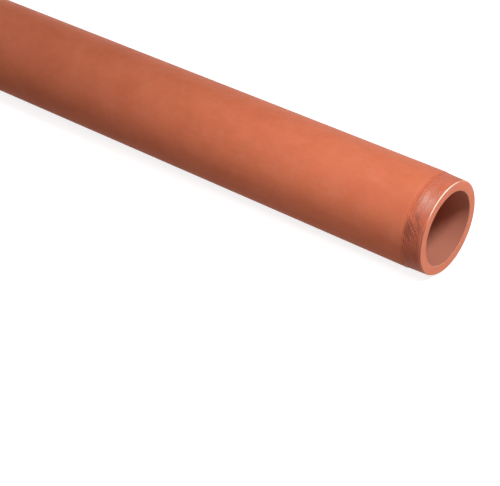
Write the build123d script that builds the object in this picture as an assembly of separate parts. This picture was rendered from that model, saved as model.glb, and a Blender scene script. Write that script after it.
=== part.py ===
# A straight length of polypropylene pressure pipe, nominal size 4 in., with a taper thread at each end.
# It lies along X on the ground, z = 0, with its middle over the origin. All sizes are in millimetres.
# The solid has the outer cone of each thread, as wide as its crests, and leaves out the grooves.
import os

from build123d import *

# The stock as it is extruded
pipe_length = 3000.0
outside_diameter = 114.3
wall = 13.0

# Each end as it is turned and threaded
thread_length = 25.4  # from the end face to the last full turn
skin_cut = 0.635  # how far the crests lie under the pipe's skin at the last full turn
thread_taper = 1 / 16  # how fast the diameter over the crests falls towards the end face
shoulder_length = 3.0  # the slope from the last full turn up to the pipe's skin
lead_chamfer = 1.0  # outer corner of the end face
bore_chamfer = 0.5  # inner corner of the end face

half_length = pipe_length / 2
outside_radius = outside_diameter / 2
bore_radius = outside_radius - wall
axis_height = outside_radius


def crest_radius(distance):
    # Radius over the thread's crests at a distance from the end face.
    return outside_radius - skin_cut - thread_taper / 2 * (thread_length - distance)


def end_outline():
    # One threaded end in section, from the bore round to the skin, as distances from the end face and radii.
    return [
        (bore_chamfer, bore_radius),
        (0, bore_radius + bore_chamfer),
        (0, crest_radius(0) - lead_chamfer),
        (lead_chamfer, crest_radius(lead_chamfer)),
        (thread_length, crest_radius(thread_length)),
        (thread_length + shoulder_length, outside_radius),
    ]


def threaded_pipe():
    # The wall's section through the whole length, turned once round the pipe's axis.
    right_end = [(half_length - distance, axis_height + radius) for distance, radius in end_outline()]
    left_end = [(-x, z) for x, z in reversed(right_end)]
    section = make_face(Polyline(right_end + left_end, close=True))
    pipe_axis = Axis((0, 0, axis_height), (1, 0, 0))
    return revolve(Plane.XZ * section, axis=pipe_axis)


os.makedirs("parts", exist_ok=True)
export_step(threaded_pipe(), "parts/threaded_pipe.step")
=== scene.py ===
import math
import bpy
from mathutils import Matrix, Vector


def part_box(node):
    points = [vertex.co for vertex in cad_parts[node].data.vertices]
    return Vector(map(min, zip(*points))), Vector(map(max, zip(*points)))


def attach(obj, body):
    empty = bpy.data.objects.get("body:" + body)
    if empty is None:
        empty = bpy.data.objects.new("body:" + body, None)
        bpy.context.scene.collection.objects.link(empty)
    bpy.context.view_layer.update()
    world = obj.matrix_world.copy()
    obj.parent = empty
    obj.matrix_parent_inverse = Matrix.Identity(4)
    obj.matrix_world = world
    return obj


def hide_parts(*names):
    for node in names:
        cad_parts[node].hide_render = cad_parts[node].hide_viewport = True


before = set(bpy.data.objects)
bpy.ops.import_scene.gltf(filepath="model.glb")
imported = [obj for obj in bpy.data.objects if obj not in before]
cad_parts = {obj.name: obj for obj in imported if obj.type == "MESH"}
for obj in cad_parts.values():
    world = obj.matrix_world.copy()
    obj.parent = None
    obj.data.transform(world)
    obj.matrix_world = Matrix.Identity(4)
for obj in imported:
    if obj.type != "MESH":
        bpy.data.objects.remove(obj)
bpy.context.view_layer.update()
print("frame loaded:", sorted(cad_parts))


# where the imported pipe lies, in metres
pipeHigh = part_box("threaded_pipe")[1]
endX = pipeHigh.x                      # the end that faces the camera; the other is at -endX
outsideRadius = pipeHigh.z / 2
axisHeight = outsideRadius
axisMiddle = Vector((0, 0, axisHeight))

# the pipe as it is extruded and turned
pipeShape = {
    "facets": 180,                     # round the pipe
    "spans": 6,                        # rings along half its length
    "wall": 0.013,
    "threadLength": 0.0254,            # from the end face to the last full turn
    "skinCut": 0.000635,               # how far the crests lie under the skin there
    "taper": 1 / 16,                   # on the diameter, towards the end face
    "shoulderLength": 0.003,
    "support": 0.002,                  # a ring this far behind the shoulder keeps the skin's shading even
    "leadChamfer": 0.001,
    "boreChamfer": 0.0005,
    "onPlane": 0.00001,                # what is this near to a plane lies on it
    "smoothAngle": 30,                 # faces that meet at less are shaded as one, in degrees
}
boreRadius = outsideRadius - pipeShape["wall"]


def selectOnly(piece):
    bpy.ops.object.select_all(action="DESELECT")
    piece.select_set(True)
    bpy.context.view_layer.objects.active = piece


def applyModifier(piece, modifier):
    selectOnly(piece)
    bpy.ops.object.modifier_apply(modifier=modifier.name)


def applyPlace(piece):
    selectOnly(piece)
    bpy.ops.object.transform_apply(location=True, rotation=True, scale=True)


def editMode(piece):
    selectOnly(piece)
    bpy.ops.object.mode_set(mode="EDIT")


def objectMode():
    bpy.ops.object.mode_set(mode="OBJECT")


def selectFaces(piece, wanted):
    # leaves the piece in edit mode with just these faces selected
    editMode(piece)
    bpy.ops.mesh.select_mode(type="FACE")
    bpy.ops.mesh.select_all(action="DESELECT")
    objectMode()
    for polygon in piece.data.polygons:
        polygon.select = wanted(polygon)
    editMode(piece)


def crestRadius(distance):
    # over the crests, at a distance from the end face
    back = pipeShape["threadLength"] - distance
    return outsideRadius - pipeShape["skinCut"] - pipeShape["taper"] / 2 * back


def turnedOutline():
    # half the pipe, from the middle's skin round the end to the middle's bore: x and radius
    threadX = endX - pipeShape["threadLength"]
    skinEndX = threadX - pipeShape["shoulderLength"]
    leadX = endX - pipeShape["leadChamfer"]
    boreX = endX - pipeShape["boreChamfer"]
    steps = [k / pipeShape["spans"] for k in range(pipeShape["spans"])]
    supportX = skinEndX - pipeShape["support"]
    outline = [(supportX * step, outsideRadius) for step in steps]
    outline += [
        (supportX, outsideRadius),
        (skinEndX, outsideRadius),
        (threadX, crestRadius(pipeShape["threadLength"])),
        (leadX, crestRadius(pipeShape["leadChamfer"])),
        (endX, crestRadius(0) - pipeShape["leadChamfer"]),
        (endX, boreRadius + pipeShape["boreChamfer"]),
        (boreX, boreRadius),
    ]
    outline += [(boreX * step, boreRadius) for step in reversed(steps)]
    return outline


def turnHalfPipe():
    # ring after ring is extruded along the outline, as on a lathe
    outline = turnedOutline()
    x, radius = outline[0]
    bpy.ops.object.select_all(action="DESELECT")
    bpy.ops.mesh.primitive_circle_add(
        vertices=pipeShape["facets"], radius=radius,
        location=(x, 0, axisHeight), rotation=(0, math.pi / 2, 0))
    half = bpy.context.object
    half.name = "threadedPipe"
    applyPlace(half)
    editMode(half)
    bpy.ops.mesh.select_all(action="SELECT")
    for nextX, nextRadius in outline[1:]:
        bpy.ops.mesh.extrude_region_move(TRANSFORM_OT_translate={"value": (nextX - x, 0, 0)})
        scale = nextRadius / radius
        bpy.ops.transform.resize(value=(1, scale, scale), center_override=(nextX, 0, axisHeight))
        x, radius = nextX, nextRadius
    bpy.ops.mesh.select_all(action="DESELECT")
    objectMode()
    # a flat lid closes the wall at the middle until the halves are joined there
    for vertex in half.data.vertices:
        vertex.select = abs(vertex.co.x) < pipeShape["onPlane"]
    for edge in half.data.edges:
        edge.select = all(half.data.vertices[index].select for index in edge.vertices)
    editMode(half)
    bpy.ops.mesh.bridge_edge_loops()
    bpy.ops.mesh.select_all(action="SELECT")
    bpy.ops.mesh.normals_make_consistent(inside=False)
    objectMode()
    return half


# the thread cut into each end, right-handed, 11 turns to the inch
threadShape = {
    "pitch": 0.002309,
    "depth": 0.640327,                 # crest to root, in pitches
    "flankAngle": 55,                  # between the two flanks, in degrees
    "tipRound": 0.0003,                # where the root's rounding starts on the flanks, from the sharp tip
    "tipSegments": 5,
    "crestRound": 0.0001,              # depth of the eased corners of the crests
    "crestFlare": 1.1,                 # how wide they are, per depth
    "proud": 0.0001,                   # how far the cutter stands out of the crests
    "merge": 0.00002,                  # corners closer than this become one
    "openingAngle": 12,                # of the groove in the end face, in degrees from +Y over the top
    "leadIn": 0.65,                    # turns in front of the end face
    "turns": 13,                       # of the cutter in all
    "fadeStart": 0.0222,               # the root starts to rise this far from the end face
    "fadeSlope": 0.46,                 # how much it rises per length
    "finishEnd": 0.0235,               # the skin's finish starts here, where the last groove has run out
}


def cutterOutline():
    # a pointed tool with flared shoulders: the radius of its sharp tip, and its corners from there
    pitch = threadShape["pitch"]
    flankSlope = math.tan(math.radians(threadShape["flankAngle"] / 2))
    depth = threadShape["depth"] * pitch
    sharpTip = (pitch / 2 / flankSlope - depth) / 2
    flankHeight = sharpTip + depth - threadShape["crestRound"]
    flareHeight = threadShape["crestRound"] + threadShape["proud"]
    flankWidth = flankHeight * flankSlope
    topWidth = flankWidth + flareHeight * threadShape["crestFlare"]
    topHeight = flankHeight + flareHeight
    corners = [
        (0, 0),
        (flankWidth, flankHeight),
        (topWidth, topHeight),
        (-topWidth, topHeight),
        (-flankWidth, flankHeight),
    ]
    return crestRadius(0) - depth - sharpTip, corners


def makeThreadCutter():
    # the tool's tip is rounded, and it is swept along the helix and fitted to the cone
    pitch = threadShape["pitch"]
    startX = endX + threadShape["leadIn"] * pitch
    tipRadius, corners = cutterOutline()
    bpy.ops.object.select_all(action="DESELECT")
    bpy.ops.mesh.primitive_circle_add(vertices=len(corners), location=axisMiddle)
    cutter = bpy.context.object
    cutter.name = "threadCutter"
    for vertex, (across, up) in zip(cutter.data.vertices, corners):
        vertex.co = (startX + across, 0, tipRadius + up)
    editMode(cutter)
    bpy.ops.mesh.select_all(action="DESELECT")
    objectMode()
    cutter.data.vertices[0].select = True
    editMode(cutter)
    bpy.ops.mesh.bevel(
        offset=threadShape["tipRound"], segments=threadShape["tipSegments"], affect="VERTICES")
    objectMode()
    screw = cutter.modifiers.new("helix", "SCREW")
    screw.axis = "X"
    screw.angle = -math.tau
    screw.steps = screw.render_steps = pipeShape["facets"]
    screw.iterations = threadShape["turns"]
    screw.screw_offset = -pitch
    screw.use_merge_vertices = False
    applyModifier(cutter, screw)
    # the sweep starts at the top, 90 degrees from +Y, and is turned so that the groove opens at its angle
    startAngle = threadShape["openingAngle"] + threadShape["leadIn"] * 360
    cutter.rotation_euler.x = math.radians(startAngle - 90)
    applyPlace(cutter)
    for vertex in cutter.data.vertices:
        distance = endX - vertex.co.x
        coneRise = pipeShape["taper"] / 2 * distance
        fadeRise = threadShape["fadeSlope"] * max(0, distance - threadShape["fadeStart"])
        across = Vector((0, vertex.co.y, vertex.co.z - axisHeight))
        vertex.co += across.normalized() * (coneRise + fadeRise)
    editMode(cutter)
    bpy.ops.mesh.select_all(action="SELECT")
    bpy.ops.mesh.fill_holes(sides=0)
    bpy.ops.mesh.select_all(action="SELECT")
    bpy.ops.mesh.normals_make_consistent(inside=False)
    objectMode()
    return cutter


def cutThread(half, cutter):
    cut = half.modifiers.new("thread", "BOOLEAN")
    cut.operation = "DIFFERENCE"
    cut.solver = "MANIFOLD"
    cut.object = cutter
    applyModifier(half, cut)
    bpy.data.objects.remove(cutter)
    editMode(half)
    bpy.ops.mesh.select_all(action="SELECT")
    bpy.ops.mesh.remove_doubles(threshold=threadShape["merge"])
    objectMode()


def joinHalves(half):
    # both ends get a right-hand thread, so the other half is turned round and not mirrored
    selectFaces(half, lambda polygon: abs(polygon.center.x) < pipeShape["onPlane"])
    bpy.ops.mesh.delete(type="FACE")
    objectMode()
    selectOnly(half)
    bpy.ops.object.duplicate()
    other = bpy.context.object
    other.rotation_euler.z = math.pi
    applyPlace(other)
    half.select_set(True)
    bpy.context.view_layer.objects.active = half
    bpy.ops.object.join()
    editMode(half)
    bpy.ops.mesh.select_all(action="SELECT")
    bpy.ops.mesh.remove_doubles(threshold=threadShape["merge"])
    bpy.ops.mesh.normals_make_consistent(inside=False)
    objectMode()
    bpy.ops.object.shade_smooth_by_angle(angle=math.radians(pipeShape["smoothAngle"]))
    return half


half = turnHalfPipe()
cutThread(half, makeThreadCutter())
threadedPipe = joinHalves(half)
print("pipe turned and threaded:", len(threadedPipe.data.polygons), "faces")

socketTypes = {"colour": "NodeSocketColor", "number": "NodeSocketFloat", "vector": "NodeSocketVector"}


def feed(tree, socket, value):
    # another node's output is linked, and anything else is set on the socket
    if isinstance(value, bpy.types.NodeSocket):
        tree.links.new(value, socket)
    else:
        socket.default_value = value


def addNode(tree, kind, place, inputs=None, **settings):
    node = tree.nodes.new(kind)
    node.location = place
    for name, value in settings.items():
        setattr(node, name, value)
    for name, value in (inputs or {}).items():
        feed(tree, node.inputs[name], value)
    return node


def mathNode(tree, place, operation, *values):
    inputs = dict(enumerate(values))
    return addNode(tree, "ShaderNodeMath", place, inputs, operation=operation).outputs["Value"]


def vectorNode(tree, place, operation, *values):
    inputs = dict(enumerate(values))
    return addNode(tree, "ShaderNodeVectorMath", place, inputs, operation=operation).outputs["Vector"]


def lengthOf(tree, place, vector):
    return addNode(tree, "ShaderNodeVectorMath", place, {0: vector}, operation="LENGTH").outputs["Value"]


def mapRange(tree, place, value, limits, results=(0.0, 1.0)):
    inputs = {
        "Value": value,
        "From Min": limits[0],
        "From Max": limits[1],
        "To Min": results[0],
        "To Max": results[1],
    }
    node = addNode(tree, "ShaderNodeMapRange", place, inputs, interpolation_type="SMOOTHSTEP")
    return node.outputs["Result"]


def mixColours(tree, place, factor, first, second):
    inputs = {"Factor": factor, "A": first, "B": second}
    return addNode(tree, "ShaderNodeMix", place, inputs, data_type="RGBA").outputs["Result"]


def noiseAt(tree, place, vector, scale=1.0, detail=2.0, breakup=0.5, warp=0.0):
    inputs = {"Vector": vector, "Scale": scale, "Detail": detail, "Roughness": breakup, "Distortion": warp}
    return addNode(tree, "ShaderNodeTexNoise", place, inputs).outputs["Fac"]


def mapped(tree, place, vector, **changes):
    # moved, turned or stretched
    return addNode(tree, "ShaderNodeMapping", place, {"Vector": vector, **changes}).outputs["Vector"]


def newGroup(name, inputs, outputs):
    tree = bpy.data.node_groups.new(name, "ShaderNodeTree")
    for socketName, kind in inputs.items():
        tree.interface.new_socket(socketName, in_out="INPUT", socket_type=socketTypes[kind])
    for socketName, kind in outputs.items():
        tree.interface.new_socket(socketName, in_out="OUTPUT", socket_type=socketTypes[kind])
    start = addNode(tree, "NodeGroupInput", (-1400, 0))
    end = addNode(tree, "NodeGroupOutput", (900, 0))
    return tree, start.outputs, end.inputs


# each finish is drawn with noise: a stretch and a scale are per metre, and a range is where it goes
# from none to full
extrudedPattern = {
    "cloudStretch": (0.7, 1, 1),
    "cloudDetail": 5.0,
    "cloudBreakup": 0.74,
    "cloudRange": (0.36, 0.68),
    "wideLines": (0.5, 90, 90),
    "narrowLines": (1.2, 620, 620),
    "lineRange": (0.12, 0.42),
    "rubScale": 46.0,
    "rubDetail": 6.0,
    "rubBreakup": 0.68,
    "rubWarp": 0.4,
    "rubRange": (0.5, 0.72),
    "grainScale": 900.0,
    "grainDullness": 0.6,              # the grain's share in the roughness
    "grainHeight": 0.5,                # and in the bump
    "dullRange": (0.15, 0.7),          # from smooth to rough
}


def makeExtrudedGroup():
    # soft clouds of colour, lines that the die drew along the pipe, and rubbed places
    pattern = extrudedPattern
    tree, given, result = newGroup(
        "extrudedPlastic",
        {
            "Place": "vector", "Colour": "colour", "Shade": "colour", "Bloom": "colour",
            "Cloud size": "number", "Clouds": "number", "Lines": "number", "Rubbing": "number",
            "Smooth": "number", "Rough": "number",
        },
        {"Colour": "colour", "Roughness": "number", "Height": "number"})
    place = given["Place"]
    cloudScale = mathNode(tree, (-1200, 400), "DIVIDE", 1.0, given["Cloud size"])
    cloudPlace = mapped(tree, (-1200, 500), place, Scale=pattern["cloudStretch"])
    clouds = noiseAt(
        tree, (-1000, 400), cloudPlace, cloudScale,
        detail=pattern["cloudDetail"], breakup=pattern["cloudBreakup"])
    clouds = mapRange(tree, (-800, 400), clouds, pattern["cloudRange"])
    clouds = mathNode(tree, (-600, 400), "MULTIPLY", clouds, given["Clouds"])
    widePlace = mapped(tree, (-1200, 100), place, Scale=pattern["wideLines"])
    narrowPlace = mapped(tree, (-1200, -100), place, Scale=pattern["narrowLines"])
    wide = noiseAt(tree, (-1000, 100), widePlace)
    narrow = noiseAt(tree, (-1000, -100), narrowPlace)
    lines = mathNode(tree, (-800, 0), "MULTIPLY", wide, narrow)
    lines = mapRange(tree, (-600, 0), lines, pattern["lineRange"])
    lines = mathNode(tree, (-400, 0), "MULTIPLY", lines, given["Lines"])
    shading = mathNode(tree, (-200, 200), "ADD", clouds, lines)
    rubbed = noiseAt(
        tree, (-1000, -300), place, pattern["rubScale"],
        detail=pattern["rubDetail"], breakup=pattern["rubBreakup"], warp=pattern["rubWarp"])
    rubbed = mapRange(tree, (-800, -300), rubbed, pattern["rubRange"])
    rubbed = mathNode(tree, (-600, -300), "MULTIPLY", rubbed, given["Rubbing"])
    body = mixColours(tree, (0, 200), shading, given["Colour"], given["Shade"])
    feed(tree, result["Colour"], mixColours(tree, (200, 100), rubbed, body, given["Bloom"]))
    grain = noiseAt(tree, (-1000, -500), place, pattern["grainScale"])
    grainDullness = mathNode(tree, (-200, -200), "MULTIPLY", grain, pattern["grainDullness"])
    dull = mathNode(tree, (0, -200), "ADD", rubbed, grainDullness)
    dull = mapRange(tree, (200, -200), dull, pattern["dullRange"])
    span = mathNode(tree, (200, -400), "SUBTRACT", given["Rough"], given["Smooth"])
    feed(tree, result["Roughness"], mathNode(tree, (400, -300), "MULTIPLY_ADD", dull, span, given["Smooth"]))
    grainHeight = mathNode(tree, (200, -600), "MULTIPLY", grain, pattern["grainHeight"])
    feed(tree, result["Height"], mathNode(tree, (400, -600), "ADD", grainHeight, lines))
    return tree


toolMarksPattern = {
    "fineScale": 1.0,                  # in spacings
    "broadScale": 0.21,
    "tornRange": (0.2, 0.42),
}


def makeToolMarksGroup():
    # fine ridges that a tool leaves, one beside the other along the first coordinate
    tree, given, result = newGroup(
        "toolMarks",
        {"Place": "vector", "Colour": "colour", "Torn": "colour", "Spacing": "number", "Amount": "number"},
        {"Colour": "colour", "Height": "number"})
    scale = mathNode(tree, (-1200, 200), "DIVIDE", 1.0, given["Spacing"])
    inputs = {0: given["Place"], "Scale": scale}
    squeeze = addNode(tree, "ShaderNodeVectorMath", (-1000, 200), inputs, operation="SCALE")
    squeezed = squeeze.outputs["Vector"]
    fine = noiseAt(tree, (-800, 200), squeezed, toolMarksPattern["fineScale"])
    broad = noiseAt(tree, (-800, 0), squeezed, toolMarksPattern["broadScale"])
    marks = mathNode(tree, (-600, 100), "MULTIPLY", fine, broad)
    marks = mapRange(tree, (-400, 100), marks, toolMarksPattern["tornRange"])
    torn = mathNode(tree, (-200, 100), "MULTIPLY", marks, given["Amount"])
    feed(tree, result["Colour"], mixColours(tree, (0, 100), torn, given["Colour"], given["Torn"]))
    feed(tree, result["Height"], fine)
    return tree


wearAndLightPattern = {
    "raggedStretch": (1, 0.3, 0.3),
    "raggedScale": 420.0,
    "raggedDetail": 4.0,
    "raggedBreakup": 0.6,
    "raggedEdge": 1.1,                 # how far the noise eats into the patch, in its sizes
    "edgeRange": (0.75, 1.6),          # from full to none, in its sizes too
    "combStretch": (1, 0.12, 0.12),
    "combScale": 270.0,
    "combWarp": 0.5,
    "gapRange": (0.4, 0.58),           # from gap to streak
}


def makeWearAndLightGroup():
    # one soft-edged patch with a middle and a size along each axis, torn up by noise and combed into
    # streaks: wear and dirt, and also painted sheen, painted highlight and painted shade
    pattern = wearAndLightPattern
    tree, given, result = newGroup(
        "wearAndPaintedLightPatch",
        {
            "Place": "vector", "Colour": "colour", "Patch colour": "colour", "Middle": "vector",
            "Shrink": "vector", "Slant": "vector", "Streaks": "number", "Amount": "number",
        },
        {"Colour": "colour"})
    place = given["Place"]
    offset = vectorNode(tree, (-1100, 0), "SUBTRACT", place, given["Middle"])
    away = lengthOf(tree, (-700, 0), vectorNode(tree, (-900, 0), "MULTIPLY", offset, given["Shrink"]))
    raggedPlace = mapped(tree, (-1100, -200), place, Scale=pattern["raggedStretch"])
    ragged = noiseAt(
        tree, (-900, -200), raggedPlace, pattern["raggedScale"],
        detail=pattern["raggedDetail"], breakup=pattern["raggedBreakup"])
    ragged = mathNode(tree, (-700, -200), "MULTIPLY", ragged, pattern["raggedEdge"])
    edge = mathNode(tree, (-500, 0), "ADD", away, ragged)
    patch = mapRange(tree, (-300, 0), edge, pattern["edgeRange"], results=(1.0, 0.0))
    patch = mathNode(tree, (-100, 0), "MULTIPLY", patch, given["Amount"])
    turned = mapped(tree, (-1100, -500), place, Rotation=given["Slant"])
    combPlace = mapped(tree, (-900, -500), turned, Scale=pattern["combStretch"])
    combed = noiseAt(tree, (-700, -500), combPlace, pattern["combScale"], warp=pattern["combWarp"])
    gaps = mapRange(tree, (-500, -500), combed, pattern["gapRange"], results=(1.0, 0.0))
    gaps = mathNode(tree, (-300, -500), "MULTIPLY", gaps, given["Streaks"])
    streaks = mathNode(tree, (-100, -500), "SUBTRACT", 1.0, gaps)
    patch = mathNode(tree, (0, -200), "MULTIPLY", patch, streaks)
    feed(tree, result["Colour"], mixColours(tree, (100, 0), patch, given["Colour"], given["Patch colour"]))
    return tree


extrudedGroup = makeExtrudedGroup()
toolMarksGroup = makeToolMarksGroup()
wearAndLightGroup = makeWearAndLightGroup()


def opaque(colour):
    return (*colour, 1)


def alongAxis(tree, place, breaks):
    # marks follow one another along the pipe, each nearly unbroken round it
    return mapped(tree, (-1100, -300), place, Scale=(1, breaks, breaks))


def outwardsFromAxis(tree, place, breaks):
    # marks follow one another outwards on the end face, each nearly unbroken round it
    parts = addNode(tree, "ShaderNodeSeparateXYZ", (-1300, -300), {"Vector": place}).outputs
    flat = addNode(tree, "ShaderNodeCombineXYZ", (-1200, -300), {"Y": parts["Y"], "Z": parts["Z"]})
    inputs = {"X": lengthOf(tree, (-1100, -450), flat.outputs["Vector"])}
    for axis in "YZ":
        inputs[axis] = mathNode(tree, (-1050, -600), "MULTIPLY", parts[axis], breaks)
    return addNode(tree, "ShaderNodeCombineXYZ", (-1000, -300), inputs).outputs["Vector"]


def addToolMarks(tree, place, colour, finish, marks):
    inputs = {
        "Place": marks["layout"](tree, place, marks["breaks"]),
        "Colour": colour,
        "Torn": opaque(finish["bloom"]),
        "Spacing": marks["spacing"],
        "Amount": marks["amount"],
    }
    return addNode(tree, "ShaderNodeGroup", (-600, -200), inputs, node_tree=toolMarksGroup).outputs


def addWearAndLight(tree, index, place, colour, spot):
    angle = math.radians(spot["angle"])
    inputs = {
        "Place": place,
        "Colour": colour,
        "Patch colour": opaque(spot["colour"]),
        "Middle": (spot["x"], outsideRadius * math.cos(angle), outsideRadius * math.sin(angle)),
        "Shrink": [1 / size for size in spot["size"]],
        "Slant": (0, math.radians(spot["slant"]), 0),
        "Streaks": spot["streaks"],
        "Amount": spot["amount"],
    }
    patch = addNode(tree, "ShaderNodeGroup", (-300 + 200 * index, 300), inputs, node_tree=wearAndLightGroup)
    return patch.outputs["Colour"]


def makeFinish(name, finish, marks=None):
    material = bpy.data.materials.new(name)
    material.use_nodes = True
    tree = material.node_tree
    place = addNode(tree, "ShaderNodeTexCoord", (-1500, 0)).outputs["Object"]
    place = mapped(tree, (-1300, 0), place, Location=(0, 0, -axisHeight))    # measured from the pipe's axis
    inputs = {
        "Place": place,
        "Colour": opaque(finish["colour"]),
        "Shade": opaque(finish["shade"]),
        "Bloom": opaque(finish["bloom"]),
        "Cloud size": finish["cloudSize"],
        "Clouds": finish["clouds"],
        "Lines": finish["lines"],
        "Rubbing": finish["rubbing"],
        "Smooth": finish["smooth"],
        "Rough": finish["rough"],
    }
    plastic = addNode(tree, "ShaderNodeGroup", (-900, 0), inputs, node_tree=extrudedGroup)
    colour, height = plastic.outputs["Colour"], plastic.outputs["Height"]
    if marks:
        tool = addToolMarks(tree, place, colour, finish, marks)
        colour = tool["Colour"]
        height = mathNode(tree, (-400, -400), "ADD", height, tool["Height"])
    for index, spot in enumerate(finish.get("wearAndPaintedLight", ())):
        colour = addWearAndLight(tree, index, place, colour, spot)
    inputs = {"Strength": 1.0, "Distance": finish["bump"], "Height": height}
    bump = addNode(tree, "ShaderNodeBump", (-250, -300), inputs)
    shader = tree.nodes["Principled BSDF"]
    feed(tree, shader.inputs["Base Color"], colour)
    feed(tree, shader.inputs["Roughness"], plastic.outputs["Roughness"])
    feed(tree, shader.inputs["Normal"], bump.outputs["Normal"])
    feed(tree, shader.inputs["IOR"], plasticIor)
    feed(tree, shader.inputs["Specular IOR Level"], finish["gloss"])
    return material


# colours are linear, under light that shows them as they are written
plasticIor = 1.49
skinFinish = {
    "colour": (0.735, 0.198, 0.1),
    "shade": (0.66, 0.165, 0.081),     # in the soft clouds and along the die lines
    "bloom": (0.76, 0.285, 0.185),     # where the skin is rubbed
    "cloudSize": 0.03,
    "clouds": 0.7,
    "lines": 0.16,
    "rubbing": 0.2,
    "smooth": 0.48,                    # roughness of the glossiest places
    "rough": 0.62,
    "bump": 0.00012,
    "gloss": 0.03,                     # specular level
}
# duller and greyer than the skin: partly a duller inner surface, partly painted shade that darkens the
# bore's shaded wall
boreFinish = {
    "colour": (0.675, 0.258, 0.168),
    "shade": (0.6, 0.225, 0.144),
    "bloom": (0.68, 0.315, 0.222),
    "cloudSize": 0.03,
    "clouds": 0.4,
    "lines": 0.3,
    "rubbing": 0.15,
    "smooth": 0.5,
    "rough": 0.65,
    "bump": 0.00012,
    "gloss": 0.45,
}
# a patch's angle is in degrees from +Y over the top, its size is along x, y and z,
# and its slant turns the streaks, in degrees
threadFinish = {
    "colour": (0.71, 0.214, 0.12),
    "shade": (0.6, 0.184, 0.104),
    "bloom": (0.74, 0.31, 0.22),       # where the tool tore the plastic pale
    "cloudSize": 0.02,
    "clouds": 0.5,
    "lines": 0.0,
    "rubbing": 0.15,
    "smooth": 0.36,
    "rough": 0.6,
    "bump": 0.0002,
    "gloss": 0.14,
    # pale near the top: rubbed plastic with a painted sheen; along the near edge: painted highlight, partly
    # whitened plastic; lower down: painted shade as dark streaks aslant; and a rubbed pale and a grimy patch
    # at the far end
    "wearAndPaintedLight": [
        # rubbed pale plastic, with a painted sheen where the key light glances off the flanks
        {
            "x": endX - 0.0115, "angle": 128, "size": (0.0125, 0.022, 0.022),
            "colour": (0.72, 0.45, 0.37), "amount": 0.8, "slant": 0, "streaks": 0.6,
        },
        # painted shade: dark streaks aslant where the grooves and a neighbouring pipe shade the thread
        {
            "x": endX - 0.0155, "angle": 166, "size": (0.016, 0.026, 0.03),
            "colour": (0.3, 0.09, 0.06), "amount": 0.62, "slant": 42, "streaks": 1.0,
        },
        # painted highlight along the near edge, partly whitened plastic
        {
            "x": endX, "angle": 112, "size": (0.0022, 0.05, 0.05),
            "colour": (0.95, 0.77, 0.63), "amount": 0.75, "slant": 0, "streaks": 0.1,
        },
        {
            "x": 0.016 - endX, "angle": 70, "size": (0.011, 0.018, 0.018),
            "colour": (0.72, 0.45, 0.37), "amount": 0.75, "slant": 0, "streaks": 0.6,
        },
        {
            "x": 0.012 - endX, "angle": 130, "size": (0.011, 0.02, 0.02),
            "colour": (0.2, 0.07, 0.05), "amount": 0.6, "slant": -40, "streaks": 0.85,
        },
    ],
}
endFinish = {
    "colour": (0.7, 0.195, 0.1),
    "shade": (0.66, 0.176, 0.088),
    "bloom": (0.74, 0.25, 0.155),
    "cloudSize": 0.03,
    "clouds": 0.4,
    "lines": 0.0,
    "rubbing": 0.2,
    "smooth": 0.45,
    "rough": 0.58,
    "bump": 0.00006,
    "gloss": 0.15,
}
edgeFinish = {
    # paler and glossier than the skin: partly whitened plastic, partly painted highlight
    "colour": (0.78, 0.28, 0.18),
    "shade": (0.7, 0.22, 0.13),
    "bloom": (0.85, 0.45, 0.33),
    "cloudSize": 0.02,
    "clouds": 0.5,
    "lines": 0.0,
    "rubbing": 0.5,
    "smooth": 0.28,
    "rough": 0.45,
    "bump": 0.00003,
    "gloss": 0.4,
    # each edge has a pale mark, painted highlight and partly whitened plastic, and the near one is darker
    # lower down beside that
    "wearAndPaintedLight": [
        # painted highlight where the light catches the near edge, partly whitened plastic
        {
            "x": endX, "angle": 112, "size": (0.03, 0.042, 0.042),
            "colour": (0.95, 0.86, 0.75), "amount": 1.0, "slant": 0, "streaks": 0.1,
        },
        # darker here, on the lower left of the near edge
        {
            "x": endX, "angle": 178, "size": (0.03, 0.03, 0.036),
            "colour": (0.2, 0.07, 0.05), "amount": 0.8, "slant": 0, "streaks": 0.2,
        },
        # the near edge's pale mark, painted highlight and whitened plastic, copied to the far edge
        {
            "x": -endX, "angle": 60, "size": (0.03, 0.034, 0.034),
            "colour": (0.95, 0.86, 0.75), "amount": 1.0, "slant": 0, "streaks": 0.1,
        },
    ],
}

# the tool's marks on the thread and on the end face: with fewer breaks they run further round the pipe
threadMarks = {"layout": alongAxis, "spacing": 0.00045, "breaks": 0.035, "amount": 0.36}
faceMarks = {"layout": outwardsFromAxis, "spacing": 0.0006, "breaks": 0.02, "amount": 0.22}

finishes = {
    "skin": makeFinish("extrudedPolypropylene", skinFinish),
    "bore": makeFinish("borePolypropylene", boreFinish),
    "thread": makeFinish("cutThreadPolypropylene", threadFinish, threadMarks),
    "face": makeFinish("facedPolypropylene", endFinish, faceMarks),
    "edge": makeFinish("easedEdgePolypropylene", edgeFinish),
}

# how far a face's normal leans along the pipe
faceSlope = 0.99
edgeSlopes = (0.6, 0.8)


def finishOf(polygon):
    distance = endX - abs(polygon.center.x)
    radius = math.hypot(polygon.center.y, polygon.center.z - axisHeight)
    slope = abs(polygon.normal.x)
    if distance < pipeShape["onPlane"] and slope > faceSlope:
        return "face"
    atEdge = distance < pipeShape["leadChamfer"] and radius > crestRadius(0) - pipeShape["leadChamfer"]
    if atEdge and edgeSlopes[0] < slope < edgeSlopes[1]:
        return "edge"
    if radius < boreRadius + pipeShape["boreChamfer"]:
        return "bore"
    if distance < threadShape["finishEnd"]:
        return "thread"
    return "skin"


threadedPipe.data.materials.clear()
for finish in finishes.values():
    threadedPipe.data.materials.append(finish)
finishNames = list(finishes)
for polygon in threadedPipe.data.polygons:
    polygon.material_index = finishNames.index(finishOf(polygon))
print("finishes given:", finishNames)

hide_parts("threaded_pipe")
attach(threadedPipe, "root")

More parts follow.
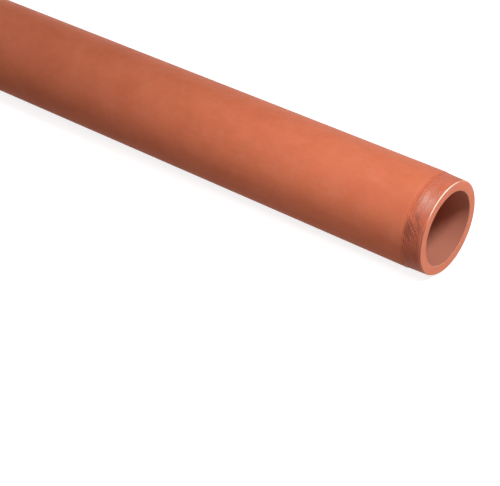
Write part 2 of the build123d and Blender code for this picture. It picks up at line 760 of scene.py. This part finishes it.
studio = {
    "floorSize": 60.0,
    "floorColour": (0.38, 0.38, 0.38, 1),
    "floorRoughness": 0.9,
    "floorGloss": 0.1,
    "seenFloor": (0.5, 0.5, 0.5, 1),       # the camera sees the floor in this colour,
    "floorGlow": 0.84,                     # with a glow that brings it to white
    "fill": 0.01,                          # strength of the light from all round
    "fillColour": (1.0, 0.96, 0.94, 1),
    "backdrop": (1, 1, 1, 1),
}

# each lamp's place and the point it is aimed at are measured from the near end's middle
lamps = {
    "keyLamp": {
        "place": (0.25, -0.11, 0.6), "aim": (0, 0, 0),
        "shape": "ELLIPSE", "size": (0.2, 0.2), "power": 1.6,
    },
    "topLamp": {
        "place": (-0.14, -0.3, 0.38), "aim": (-0.14, 0, 0),
        "shape": "ELLIPSE", "size": (0.2, 0.2), "power": 0.82,
    },
    "frontLamp": {
        "place": (1.8, 0.12, 0.04), "aim": (0, 0, 0),
        "shape": "ELLIPSE", "size": (0.3, 0.3), "power": 16.4,
    },
    # long lamps over and beside the rest of the pipe, and one for its far end
    "topStrip": {
        "place": (-2.1, -0.15, 0.6), "aim": (-2.1, 0, 0),
        "shape": "RECTANGLE", "size": (2.2, 0.4), "power": 3.3,
    },
    "leftStrip": {
        "place": (-2.1, -1.1, 0.45), "aim": (-2.1, 0, 0),
        "shape": "RECTANGLE", "size": (2.2, 0.5), "power": 3.8,
    },
    "rightStrip": {
        "place": (-1.8, 1.0, 0.2), "aim": (-1.8, 0, 0),
        "shape": "RECTANGLE", "size": (3.0, 0.4), "power": 5.2,
    },
    "backLamp": {
        "place": (-4.8, 0.1, 0.06), "aim": (-3, 0, 0),
        "shape": "ELLIPSE", "size": (0.3, 0.3), "power": 15.5,
    },
}

# wide, even lights on everything, the floor too: where each comes from, and its width in degrees
skyLights = {
    "overheadSky": {"way": (0.38, -0.2, 0.9), "width": 15, "strength": 0.9},
    "leftSky": {"way": (0.15, -0.8, 0.55), "width": 40, "strength": 0.15},
    "rightSky": {"way": (-0.2, 0.9, 0.3), "width": 40, "strength": 0.27},
}


def backdropShare(tree):
    # the rays that see the backdrop itself, and not its light
    path = addNode(tree, "ShaderNodeLightPath", (-500, 300)).outputs
    share = mathNode(tree, (-300, 300), "MAXIMUM", path["Is Camera Ray"], path["Is Glossy Ray"])
    return mathNode(tree, (-100, 300), "MAXIMUM", share, path["Is Transmission Ray"])


def makeFloor():
    bpy.ops.object.select_all(action="DESELECT")
    bpy.ops.mesh.primitive_plane_add(size=studio["floorSize"])
    floor = bpy.context.object
    floor.name = "studioFloor"
    paper = bpy.data.materials.new("whitePaper")
    paper.use_nodes = True
    tree = paper.node_tree
    shader = tree.nodes["Principled BSDF"]
    feed(tree, shader.inputs["Base Color"], studio["floorColour"])
    feed(tree, shader.inputs["Roughness"], studio["floorRoughness"])
    feed(tree, shader.inputs["Specular IOR Level"], studio["floorGloss"])
    seen = addNode(tree, "ShaderNodeBsdfDiffuse", (0, -300), {"Color": studio["seenFloor"]})
    glow = addNode(tree, "ShaderNodeEmission", (0, -500), {"Strength": studio["floorGlow"]})
    inputs = {0: seen.outputs["BSDF"], 1: glow.outputs["Emission"]}
    lit = addNode(tree, "ShaderNodeAddShader", (200, -400), inputs)
    inputs = {0: backdropShare(tree), 1: shader.outputs["BSDF"], 2: lit.outputs["Shader"]}
    mix = addNode(tree, "ShaderNodeMixShader", (400, 0), inputs)
    feed(tree, tree.nodes["Material Output"].inputs["Surface"], mix.outputs["Shader"])
    floor.data.materials.append(paper)


def addLight(name, kind, place, way):
    # the light looks back along its way
    light = bpy.data.lights.new(name, kind)
    holder = bpy.data.objects.new(name, light)
    holder.location = place
    holder.rotation_euler = way.to_track_quat("Z", "Y").to_euler()
    holder.visible_camera = False
    bpy.context.scene.collection.objects.link(holder)
    return light


def lightStudio():
    nearEnd = Vector((endX, 0, axisHeight))
    for name, lamp in lamps.items():
        place, aim = Vector(lamp["place"]), Vector(lamp["aim"])
        light = addLight(name, "AREA", nearEnd + place, place - aim)
        light.shape = lamp["shape"]
        light.size, light.size_y = lamp["size"]
        light.energy = lamp["power"]
    for name, sky in skyLights.items():
        light = addLight(name, "SUN", nearEnd, Vector(sky["way"]))
        light.angle = math.radians(sky["width"])
        light.energy = sky["strength"]


def makeAir():
    # a little light from all round, and white behind everything
    world = bpy.data.worlds.new("studioAir")
    bpy.context.scene.world = world
    world.use_nodes = True
    tree = world.node_tree
    fill = tree.nodes["Background"]
    feed(tree, fill.inputs["Color"], studio["fillColour"])
    feed(tree, fill.inputs["Strength"], studio["fill"])
    inputs = {"Color": studio["backdrop"], "Strength": 1.0}
    white = addNode(tree, "ShaderNodeBackground", (0, -200), inputs)
    inputs = {0: backdropShare(tree), 1: fill.outputs["Background"], 2: white.outputs["Background"]}
    mix = addNode(tree, "ShaderNodeMixShader", (300, 0), inputs)
    feed(tree, tree.nodes["World Output"].inputs["Surface"], mix.outputs["Shader"])


cameraSettings = {
    "lens": 112.995,
    "sensor": 36,
    "azimuth": 36.291,
    "elevation": 30.437,
    "roll": 3.99,
    "place": (0.71371, -1.336703, 0.902616),    # from the floor under the near end's centre
    "clipEnd": 100,
}


def placeCamera():
    azimuth = math.radians(cameraSettings["azimuth"])
    elevation = math.radians(cameraSettings["elevation"])
    level = Vector((math.cos(azimuth), math.sin(azimuth), 0))
    back = Vector((
        math.sin(azimuth) * math.cos(elevation),
        -math.cos(azimuth) * math.cos(elevation),
        math.sin(elevation)))
    turn = Matrix.Rotation(math.radians(cameraSettings["roll"]), 3, back)
    right = turn @ level
    up = back.cross(right)
    place = Vector((endX, 0, 0)) + Vector(cameraSettings["place"])
    facing = Matrix((right, up, back)).transposed().to_4x4()
    camera = bpy.data.objects.new("studioCamera", bpy.data.cameras.new("studioCamera"))
    bpy.context.scene.collection.objects.link(camera)
    camera.matrix_world = Matrix.Translation(place) @ facing
    camera.data.lens = cameraSettings["lens"]
    camera.data.sensor_width = cameraSettings["sensor"]
    camera.data.clip_end = cameraSettings["clipEnd"]
    bpy.context.scene.camera = camera


makeFloor()
lightStudio()
makeAir()
placeCamera()
bpy.context.scene.view_settings.view_transform = "Standard"
print("floor, lights and camera placed")
